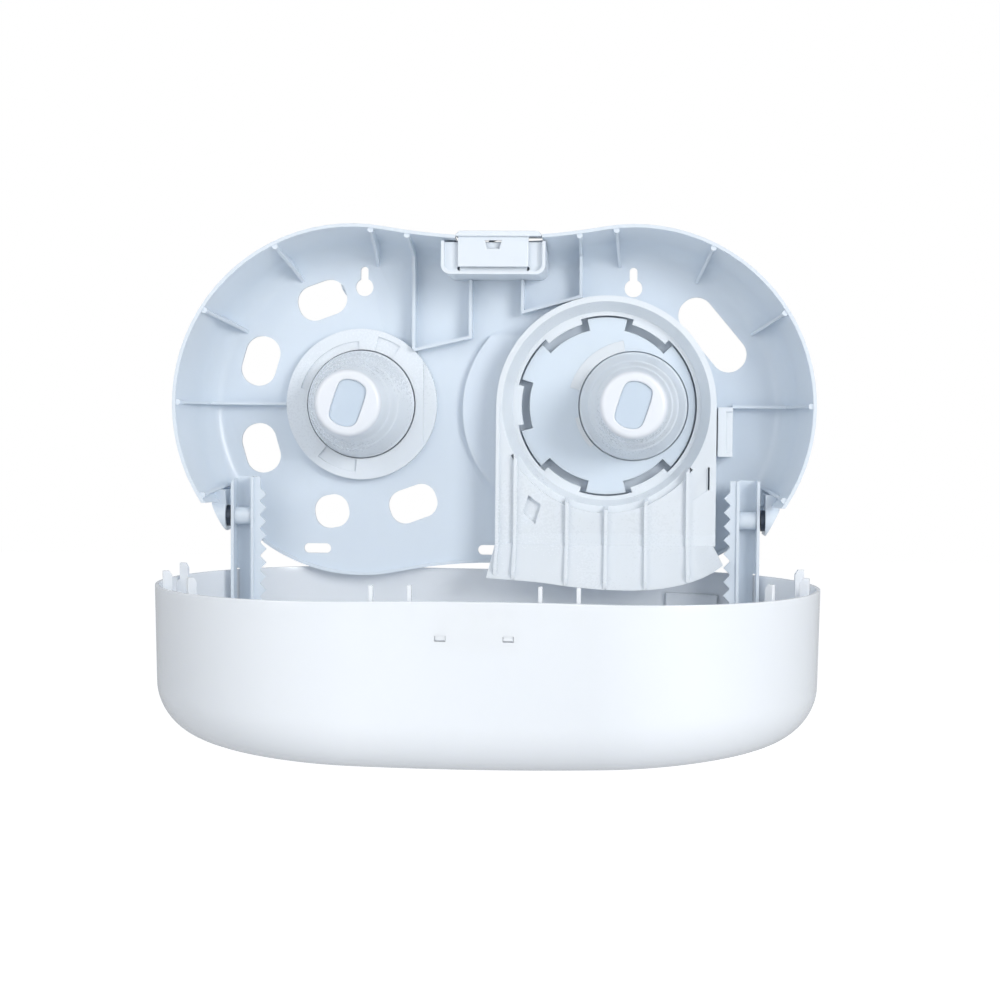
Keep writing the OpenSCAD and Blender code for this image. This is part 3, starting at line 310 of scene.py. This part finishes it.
# Round the outline by angle: each lobe is an arc about its own centre, and between the lobes an
# arc of a large circle outside the case bends the other way. Insets shrink the lobes and widen
# the outer circles by as much, so every ring runs parallel to the rim.
def ring(inset):
    inset = np.asarray(inset, float)[..., None]
    cx = outline["width"] / 2 - outline["lobe"]
    r = outline["lobe"] - inset
    riseTop = (cx ** 2 - outline["dipTop"] ** 2) / (2 * outline["dipTop"])
    riseLow = (cx ** 2 - outline["dipBottom"] ** 2) / (2 * outline["dipBottom"])
    radiusTop = riseTop - r + outline["dipTop"]
    radiusLow = riseLow - r + outline["dipBottom"]
    top = math.atan2(riseTop, -cx)
    low = math.atan2(riseLow, -cx)
    a = np.linspace(-low, top, outline["lobeSteps"], endpoint=False)
    b = -np.arccos(waistStations(cx, top) / (riseTop - outline["lobe"] + outline["dipTop"]))
    c = np.linspace(math.pi - top, math.pi + low, outline["lobeSteps"], endpoint=False)
    d = np.linspace(low, math.pi - low, outline["waistSteps"], endpoint=False)
    x = [cx + r * np.cos(a), radiusTop * np.cos(b), -cx + r * np.cos(c), radiusLow * np.cos(d)]
    z = [r * np.sin(a), riseTop + radiusTop * np.sin(b), r * np.sin(c), -riseLow + radiusLow * np.sin(d)]
    x, z = np.concatenate(x, axis=-1), np.concatenate(z, axis=-1)
    return x, z - outline["drop"]


# Stations across the hollow at the top, with lines that fall on the edges of the snap windows
def waistStations(cx, top):
    end = cx + outline["lobe"] * math.cos(top)
    near, wide = window["across"] - window["width"] / 2, window["across"] + window["width"] / 2
    half = np.concatenate([np.linspace(end, wide, window["steps"], endpoint=False), [wide, window["across"]]])
    middle = np.linspace(near, -near, window["middleSteps"], endpoint=False)
    return np.concatenate([half, middle, [-near, -window["across"]], -half[:window["steps"] + 1][:0:-1]])


window = {                   # two snap windows in the cover's wall, near its rim
    "across": 20 * mm,
    "width": 6.4 * mm,
    "from": 19.8 * mm,       # from the rim
    "height": 3.4 * mm,
    "steps": 18,
    "middleSteps": 12,
}


# ---- cover ----

cover = {
    "rim": 83 * mm,          # depth of the rim in front of the wall
    "height": 106 * mm,      # from the rim to the middle of the face
    "wall": 2.5 * mm,
    "round": 30 * mm,
    "draft": 1.2 * mm,
    "crownAcross": 1.4,      # radii of the crowned face, in metres
    "crownUp": 2.0,
    "crownFall": 3.1 * mm,   # how much lower than its middle the face lies above the wall
    "lipRound": 0.5 * mm,
    "lipSteps": 9,
    "lipPower": 0.6,         # below 1 flattens the half round of the rim
    "sillRows": 4,           # rows of the wall below the windows and above them
    "upperRows": 6,
    "faceRings": 14,
    "roundRings": 16,
}


# Along the profile, from the rim outwards over the wall, the rounding and the face: a distance
# inward from the outline, and a depth that is either measured from the rim or down from the
# crowned face, which falls away with the square of the distance from its middle.
def coverSide(thick):
    bend = cover["round"] - thick
    turn = np.linspace(0, math.pi / 2, cover["roundRings"])
    insetRound = cover["draft"] + thick + bend * (1 - np.cos(turn))
    sunkRound = thick + bend * (1 - np.sin(turn))
    reach = cover["height"] - cover["round"] - cover["crownFall"]
    low, high = window["from"] / reach, (window["from"] + window["height"]) / reach
    climb = np.concatenate([np.linspace(0, low, cover["sillRows"], endpoint=False), [low],
                            np.linspace(high, 1, cover["upperRows"], endpoint=False)])
    insetFace = np.linspace(insetRound[-1], outline["lobe"], cover["faceRings"] + 1)[1:]
    inset = np.concatenate([thick + cover["draft"] * climb, insetRound, insetFace])
    x, z = ring(inset)
    spine = outline["width"] / 2 - outline["lobe"]
    x[-1] = np.clip(x[-1], -spine, spine)           # the last ring lies on the line between the lobes
    z[-1] = -outline["drop"]
    crown = x ** 2 / (2 * cover["crownAcross"]) + z ** 2 / (2 * cover["crownUp"])
    face = cover["rim"] + cover["height"] - crown
    n = len(climb)
    depth = np.empty_like(x)
    foot = cover["rim"] + cover["lipRound"]
    depth[:n] = foot + (face[:n] - sunkRound[0] - foot) * climb[:, None]
    depth[n:n + len(turn)] = face[n:n + len(turn)] - sunkRound[:, None]
    depth[n + len(turn):] = face[n + len(turn):] - thick
    return x, z, depth


def coverShell():
    outer = coverSide(0.0)
    inner = coverSide(cover["wall"])
    curl = np.linspace(0, math.pi, cover["lipSteps"])[1:-1]      # the rim is a flattened half round
    half = cover["wall"] / 2
    x, z = ring(half + half * np.sign(np.cos(curl)) * np.abs(np.cos(curl)) ** cover["lipPower"])
    lip = cover["rim"] + cover["lipRound"] * (1 - np.sin(curl) ** cover["lipPower"])
    depth = np.repeat(lip[:, None], x.shape[1], axis=1)
    stack = [np.concatenate(rows) for rows in zip([a[::-1] for a in inner], (x, z, depth), outer)]
    points = swung(onWall(*stack))
    rows, columns = points.shape[:2]
    faces = gridFaces(rows, columns)
    outerRow = inner[0].shape[0] + len(curl) + cover["sillRows"]
    innerRow = inner[0].shape[0] - 2 - cover["sillRows"]
    firstWindow = outline["lobeSteps"] + window["steps"]
    walls = []
    gone = []
    for first in (firstWindow, firstWindow + 2 + window["middleSteps"]):
        gone += [row * columns + first + k for row in (outerRow, innerRow) for k in (0, 1)]
        loop = [(0, first), (0, first + 1), (0, first + 2), (1, first + 2), (1, first + 1), (1, first)]
        outside = [(outerRow + r) * columns + c for r, c in loop]
        inside = [(innerRow + 1 - r) * columns + c for r, c in loop]
        n = len(loop)
        walls += [(outside[k], outside[(k + 1) % n], inside[(k + 1) % n], inside[k]) for k in range(n)]
    faces = np.concatenate([np.delete(faces, gone, axis=0), np.array(walls)])
    piece = addMesh("cover_skin", points, faces, finish["cover"], 40, "cover")
    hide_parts("cover_shell")


# A plate: an outline of two measures, carried straight through a thickness
def plate(name, outlinePoints, low, high, place, look, body, ease=0.3):
    flat = np.asarray(outlinePoints, float)
    n = len(flat)
    first = place(flat[:, 0], flat[:, 1], np.full(n, low))
    last = place(flat[:, 0], flat[:, 1], np.full(n, high))
    sides = [(k, (k + 1) % n, n + (k + 1) % n, n + k) for k in range(n)]
    faces = sides + [tuple(range(n))[::-1], tuple(range(n, 2 * n))]
    piece = addMesh(name, np.concatenate([first, last]), faces, finish[look], 32, body)
    bevel = piece.modifiers.new("ease", "BEVEL")
    bevel.width = ease * mm
    bevel.segments = 2
    bevel.harden_normals = True
    return piece


fins = {
    "thick": 2.5 * mm,
    "rise": 9 * mm,          # above the rim
    "root": 14 * mm,         # below the rim
    "depth": 6 * mm,         # at the root and, beyond the slanted lead, at the tip
    "tip": 4 * mm,
    "lead": 3 * mm,
    "step": (2 * mm, 2.6 * mm),      # where it runs out to the wall
    "inset": 4.6 * mm,       # of its outer side from the outline, and of its foot, on the lobes
    "seat": 1.4 * mm,
    "waistInset": 4 * mm,    # the same between the lobes
    "waistSeat": 1.2 * mm,
    "angles": (16, 42, -14),
    "waist": (38.5 * mm, 61 * mm),
}


def finSide(outer, wall):
    rim, root = cover["rim"], cover["rim"] + fins["root"]
    end, back = rim - fins["rise"], outer - fins["depth"]
    return [(back, root), (back, end + fins["lead"]), (outer - fins["tip"], end), (outer, end),
            (outer, rim + fins["step"][0]), (wall, rim + fins["step"][1]), (wall, root)]


def coverFins():
    lobeX = outline["width"] / 2 - outline["lobe"]
    half = fins["thick"] / 2
    side = finSide(outline["lobe"] - fins["inset"], outline["lobe"] - fins["seat"])
    for sign, hand in ((-1, "left"), (1, "right")):
        for k, degrees in enumerate(fins["angles"]):
            c, n = math.cos(math.radians(degrees)), math.sin(math.radians(degrees))

            def radial(r, d, t):
                return swung(onWall(sign * (lobeX + r * c - t * n), r * n + t * c - outline["drop"], d))
            plate(f"cover_fin_{hand}_{k}", side, -half, half, radial, "cover", "cover")
        for k, across in enumerate(fins["waist"]):
            x, z = ring([0.0])
            crest = z[0][np.argmin(np.abs(x[0] - across) + (z[0] < 0))]
            tall = finSide(crest - fins["waistInset"], crest - fins["waistSeat"])

            def upright(z, d, t):
                return swung(onWall(sign * across + t, z, d))
            plate(f"cover_fin_waist_{hand}_{k}", tall, -half, half, upright, "cover", "cover")


armBoss = {
    "across": 167.3 * mm,
    "up": -73.5 * mm,
    "from": 140 * mm,
    "to": 166 * mm,
    "radius": 4 * mm,
    "edge": 0.4 * mm,
    "steps": 40,
}


# Round bosses for the arms' screws: a radius that changes with depth, carried round an axis that
# is square to the wall while the cover is shut
def armBosses():
    r, edge, near, far = armBoss["radius"], armBoss["edge"], armBoss["from"], armBoss["to"]
    profile = np.array([(0, near), (r - edge, near), (r, near + edge), (r, far), (0, far)])
    a = np.linspace(0, 2 * math.pi, armBoss["steps"], endpoint=False)
    for sign, hand in ((-1, "left"), (1, "right")):
        x = sign * armBoss["across"] + profile[:, :1] * np.cos(a)
        z = armBoss["up"] + profile[:, :1] * np.sin(a)
        points = swung(onWall(x, z, np.repeat(profile[:, 1:], len(a), axis=1)))
        addMesh("cover_boss_" + hand, points, gridFaces(*x.shape), finish["cover"], 35, "cover")


pad = {
    "from": 115 * mm,
    "width": 35 * mm,
    "sunk": 1.9 * mm,
    "thick": 4.3 * mm,
    "low": 15 * mm,
    "high": 45 * mm,
    "steps": 13,
    "ease": 1.2,
}


# A raised pad on the inside of the cover's bottom wall, between two arcs that follow the lobe
def coverPad():
    lobeX = outline["width"] / 2 - outline["lobe"]
    x = pad["from"] + np.linspace(0, pad["width"], pad["steps"])
    arcs = [-np.sqrt((outline["lobe"] - inset) ** 2 - (x - lobeX) ** 2) - outline["drop"]
            for inset in (pad["sunk"], pad["sunk"] + pad["thick"])]
    around = list(zip(x, arcs[0])) + list(zip(x[::-1], arcs[1][::-1]))
    plate("cover_pad", around, cover["rim"] + pad["low"], cover["rim"] + pad["high"],
          lambda across, z, d: swung(onWall(across, z, d)), "cover", "cover", pad["ease"])


coverShell()
coverFins()
armBosses()
coverPad()
print("cover made")


# ---- pieces that keep the frame's own shape ----

easedPieces = {
    "rear_tray": ("tray", 0.35),
    "left_hub_flange": ("guide", 0.35),
    "turret_disc": ("disc", 0.35),
    "paper_guide": ("guide", 0.35),
    "guide_clip": ("guide", 0.4),
    "lock_housing": ("lock", 0.4),
    "lock_latch": ("lock", 0.5),
    "catch_plate": ("cover", 0.3),
    "cover_arm_left": ("tray", 0.3),
    "cover_arm_right": ("tray", 0.3),
    "hinge_bush_left": ("tray", 0.2),
    "hinge_bush_right": ("tray", 0.2),
}
for node, (look, edge) in easedPieces.items():
    softened(node, finish[look], edge)
for node in frame["nodes"]:
    if node.endswith("screws") or node == "lock_spring":
        frame["nodes"][node].data.materials.clear()
        frame["nodes"][node].data.materials.append(finish["steel"])
    if node.startswith("hinge_pin"):
        frame["nodes"][node].data.materials.clear()
        frame["nodes"][node].data.materials.append(finish["darkSteel"])
print("pieces eased:", len(easedPieces))


# ---- spindle ends: a post with two flats, and the white cap round it ----

nose = {
    "tip": 15.2 * mm,        # radius of the round ends of the post's nose
    "flat": 19.6 * mm,       # across its flats
    "tilt": math.radians(-18),
    "corner": 9,             # higher is sharper
    "fit": -0.02 * mm,
    "edge": 3.4 * mm,        # rounding of the cap's outer edge
    "mouth": 1.1 * mm,       # rounding of its opening
    "postEdge": 0.6 * mm,
    "core": 16.4 * mm,       # radius of the post inside the cone
    "bore": 6 * mm,
    "foot": 3 * mm,
    "blind": 4 * mm,         # how far behind the cap the post's bore ends
    "behind": 0.2 * mm,      # between the cap and the post's shoulder
    "roundSteps": 8,
    "steps": 96,
}


# The nose's radius at an angle: the round end and the flat each give one, and the smaller of the
# two counts, blended by adding high powers of their inverses
def noseRadius(a):
    side = np.maximum(np.abs(np.cos(a - nose["tilt"])), 0.01)
    p = nose["corner"]
    return (nose["tip"] ** -p + (nose["flat"] / 2 / side) ** -p) ** (-1 / p)


def carried(name, rows, centre, a, look, node, loop):   # rows of a radius round the axis and a depth
    radius = np.array([np.broadcast_to(r, a.shape) for r, d in rows])
    depth = np.array([np.full(a.shape, d) for r, d in rows])
    points = onWall(centre[0] + radius * np.cos(a), centre[1] + radius * np.sin(a), depth)
    piece = addMesh(name, points, gridFaces(len(rows), len(a), wrapRows=loop), finish[look], 35,
                    frame["nodes"][node]["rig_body"])
    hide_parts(node)


def spindleEnd(hand):
    capNode, postNode = hand + "_nose_cap", hand + "_spindle_post"
    capBox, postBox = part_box(capNode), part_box(postNode)
    centre = ((capBox[0][0] + capBox[1][0]) / 2, (capBox[0][2] + capBox[1][2]) / 2)
    capR = (capBox[1][0] - capBox[0][0]) / 2
    front, back = -capBox[0][1], -capBox[1][1]
    a = np.linspace(0, 2 * math.pi, nose["steps"], endpoint=False)
    inner = noseRadius(a) + nose["fit"]
    turn = np.linspace(0, math.pi / 2, nose["roundSteps"])
    mouth = [(inner + nose["mouth"] * (1 - math.cos(t)), front - nose["mouth"] * (1 - math.sin(t)))
             for t in turn]
    edge = [(capR - nose["edge"] * (1 - math.sin(t)), front - nose["edge"] * (1 - math.cos(t)))
            for t in turn]
    rows = [(inner, back)] + mouth + edge + [(capR, back)]
    carried(hand + "_cap_round", rows, centre, a, "cap", capNode, True)
    postR = (postBox[1][0] - postBox[0][0]) / 2
    end, foot = -postBox[0][1], -postBox[1][1]
    tip = [(noseRadius(a) - nose["postEdge"] * (1 - math.cos(t)), end - nose["postEdge"] * (1 - math.sin(t)))
           for t in turn]
    blind, step, shoulder = back - nose["blind"], foot + nose["foot"], back - nose["behind"]
    rows = [(0, blind), (nose["bore"], blind), (nose["bore"], foot), (postR, foot), (postR, step),
            (nose["core"], step), (nose["core"], shoulder), (noseRadius(a), shoulder)] + tip + [(0, end)]
    carried(hand + "_post_round", rows, centre, a, "post", postNode, False)


cone = {
    "wall": 2.4 * mm,
    "play": 0.08 * mm,       # between its bore and the post
    "foot": 5 * mm,          # height of its base ring
    "shoulder": 1.4 * mm,    # width of the base ring's top
    "hollow": 6 * mm,        # height of the hollow's widest part
    "steps": (30.7 * mm, 17.7 * mm),         # below its front
    "narrower": (7.7 * mm, 11.6 * mm),       # than its base, at each step
    "ledges": (1.6 * mm, 1.3 * mm),          # width of each step
    "fall": 0.4 * mm,        # slant of a ledge and height of the corner above it
    "rise": 0.6 * mm,
    "mouth": (0.7 * mm, 1.2 * mm),           # how far its top stands out from the cap and below its front
    "tuck": 1 * mm,          # how far it ends inside the cap's edge
    "soft": 5,               # times that the corners are cut
}


# The spindle's cone: a turned profile with two faint steps. Its corners are rounded by cutting
# each one off at a quarter of both its sides, several times over.
def spindleCone(hand):
    node = hand + "_spindle_cone"
    low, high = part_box(node)
    centre = ((low[0] + high[0]) / 2, (low[2] + high[2]) / 2)
    base, front, back = (high[0] - low[0]) / 2, -low[1], -high[1]
    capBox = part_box(hand + "_nose_cap")
    capR = (capBox[1][0] - capBox[0][0]) / 2
    wall, fall, ringTop = cone["wall"], cone["fall"], back + cone["foot"]
    neck = base - cone["shoulder"]
    (r1, r2), (d1, d2) = (base - less for less in cone["narrower"]), (front - drop for drop in cone["steps"])
    outside = [(base, back), (base, ringTop), (neck, ringTop + fall)]
    for r, d, ledge in ((r1, d1, cone["ledges"][0]), (r2, d2, cone["ledges"][1])):
        outside += [(r + ledge, d - fall), (r, d + cone["rise"])]
    outside += [(capR + cone["mouth"][0], front - cone["mouth"][1]), (capR - cone["tuck"], front)]
    outside = np.array(outside)
    for cut in range(cone["soft"]):
        a, b = outside[:-1], outside[1:]
        cuts = np.stack([0.75 * a + 0.25 * b, 0.25 * a + 0.75 * b], 1).reshape(-1, 2)
        outside = np.concatenate([outside[:1], cuts, outside[-1:]])
    bore = nose["core"] + cone["play"]
    tube = bore + wall
    inside = [(bore, front), (bore, back), (tube, back), (tube, d2 - wall), (r2 - wall, d2 - wall),
              (r1 - wall, d1 - wall), (neck - wall, back + cone["hollow"]), (base - wall, back)]
    rows = [(r, d) for r, d in outside] + inside
    turn = np.linspace(0, 2 * math.pi, nose["steps"], endpoint=False)
    carried(hand + "_cone_round", rows, centre, turn, "guide", node, True)


patch = {                    # two shallow bands beside the cone, on the turret's face
    "bands": ((131.5, 65, 44.4 * mm), (208.5, 33, 40 * mm)),    # middle, span and outer radius
    "inner": 37 * mm,
    "high": 0.25 * mm,
    "sunk": 1 * mm,
    "steps": 25,
    "ease": 0.2,
}


def turretBands():
    discBox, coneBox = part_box("turret_disc"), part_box("right_spindle_cone")
    across, up = (coneBox[0][0] + coneBox[1][0]) / 2, (coneBox[0][2] + coneBox[1][2]) / 2
    face = -discBox[0][1]
    body = frame["nodes"]["turret_disc"]["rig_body"]
    for k, (middle, span, outer) in enumerate(patch["bands"]):
        a = np.radians(np.linspace(middle - span / 2, middle + span / 2, patch["steps"]))
        arc = [(r * np.cos(t), r * np.sin(t))
               for r, turn in ((patch["inner"], a), (outer, a[::-1])) for t in turn]
        plate(f"turret_band_{k}", arc, face - patch["sunk"], face + patch["high"],
              lambda x, z, d: onWall(across + x, up + z, d), "guide", body, patch["ease"])


web = {                      # smooth face of the web that shows under the latch
    "half": 22 * mm,
    "sunk": 5 * mm,          # how far the web stands behind the housing's front
    "rim": 1.5 * mm,         # housing's lower wall, in which it ends
    "under": 3 * mm,         # how far it goes on behind the latch
    "thick": 0.3 * mm,
    "ease": 0.05,
}


def lockWeb():
    housing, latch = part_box("lock_housing"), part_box("lock_latch")
    half, face = web["half"], -housing[0][1] - web["sunk"]
    low, high = housing[0][2] + web["rim"], latch[0][2] + web["under"]
    corners = [(-half, low), (half, low), (half, high), (-half, high)]
    plate("lock_web", corners, face - web["thick"], face + web["thick"], onWall, "lock",
          frame["nodes"]["lock_housing"]["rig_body"], web["ease"])


for hand in ("left", "right"):
    spindleEnd(hand)
    spindleCone(hand)
turretBands()
lockWeb()
print("spindle ends made")


# ---- studio ----

studio = {
    "sky": srgb(245, 248, 252),
    "skyStrength": 0.56,
    "floorDrop": 0.25,
    "floorHalf": 6,
    "floorGrey": (0.8, 0.8, 0.8, 1),
    "floorGlow": 0.6,        # seen by the camera alone
    "lamps": {                # place, size, power, aimed at the middle of the part
        "key": ((1.3, -1.9, 0.5), 0.9, 23.5),
        "fill": ((-1.1, -2.1, 0.6), 1.8, 12.0),
        "below": ((-0.25, -1.7, -1.2), 1.6, 13.0),
    },
}
camera = {
    "across": 89.62 * mm,
    "distance": 1498.9 * mm,
    "height": -13.93 * mm,
    "yaw": 0.059,
    "pitch": -0.034,
    "roll": 0.008,
    "focalPixels": 2182.4,
    "pixels": 1000,
    "sensor": 36,
    "clip": (0.05, 30),
}


def makeWorld():
    world = bpy.data.worlds.new("studio")
    bpy.context.scene.world = world
    world.use_nodes = True
    tree = world.node_tree
    tree.nodes.clear()
    path = tree.nodes.new("ShaderNodeLightPath")
    seen = tree.nodes.new("ShaderNodeMath")
    seen.operation = "MAXIMUM"
    tree.links.new(path.outputs["Is Camera Ray"], seen.inputs[0])
    tree.links.new(path.outputs["Is Transmission Ray"], seen.inputs[1])
    soft = tree.nodes.new("ShaderNodeBackground")
    soft.inputs["Color"].default_value = studio["sky"]
    soft.inputs["Strength"].default_value = studio["skyStrength"]
    plain = tree.nodes.new("ShaderNodeBackground")
    plain.inputs["Color"].default_value = (1, 1, 1, 1)
    plain.inputs["Strength"].default_value = 1.0
    mix = tree.nodes.new("ShaderNodeMixShader")
    tree.links.new(seen.outputs[0], mix.inputs[0])
    tree.links.new(soft.outputs[0], mix.inputs[1])
    tree.links.new(plain.outputs[0], mix.inputs[2])
    out = tree.nodes.new("ShaderNodeOutputWorld")
    tree.links.new(mix.outputs[0], out.inputs["Surface"])


def makeLamps():
    middle = (startLow + startHigh) / 2
    for name, (place, size, power) in studio["lamps"].items():
        data = bpy.data.lights.new(name, "AREA")
        data.shape = "DISK"
        data.size = size
        data.energy = power
        lamp = bpy.data.objects.new(name, data)
        bpy.context.scene.collection.objects.link(lamp)
        lamp.location = place
        lamp.rotation_mode = "QUATERNION"
        lamp.rotation_quaternion = (middle - Vector(place)).to_track_quat("-Z", "Y")


def makeFloor():
    paint = Paint("studio_floor")
    path = paint.add("ShaderNodeLightPath")
    diffuse = paint.add("ShaderNodeBsdfDiffuse", None, {"Color": studio["floorGrey"]})
    glow = paint.add("ShaderNodeEmission", None,
                     {"Color": (1, 1, 1, 1), "Strength": path * studio["floorGlow"]})
    both = paint.add("ShaderNodeAddShader", None, {0: diffuse, 1: glow})
    level = startLow.z - studio["floorDrop"]
    half = studio["floorHalf"]
    corners = [(-half, -half, level), (half, -half, level), (half, half, level), (-half, half, level)]
    floor = addMesh("studio_floor", corners, [(0, 1, 2, 3)], paint.finish(both))


def makeCamera():
    data = bpy.data.cameras.new("camera")
    data.sensor_width = camera["sensor"]
    data.lens = camera["focalPixels"] / camera["pixels"] * camera["sensor"]
    data.clip_start, data.clip_end = camera["clip"]
    eye = bpy.data.objects.new("camera", data)
    bpy.context.scene.collection.objects.link(eye)
    turn = Matrix.Rotation(camera["yaw"], 3, "Z")
    right = turn @ Vector((1, 0, 0))
    ahead = turn @ Vector((0, 1, 0))
    up = Vector((0, 0, 1))
    ahead2 = ahead * math.cos(camera["pitch"]) + up * math.sin(camera["pitch"])
    up2 = up * math.cos(camera["pitch"]) - ahead * math.sin(camera["pitch"])
    right3 = right * math.cos(camera["roll"]) + up2 * math.sin(camera["roll"])
    up3 = up2 * math.cos(camera["roll"]) - right * math.sin(camera["roll"])
    eye.matrix_world = Matrix((right3, up3, -ahead2)).transposed().to_4x4()
    eye.location = (camera["across"], -camera["distance"], camera["height"])
    bpy.context.scene.camera = eye


makeWorld()
makeLamps()
makeFloor()
makeCamera()
bpy.context.scene.view_settings.view_transform = "Standard"
print("studio made")
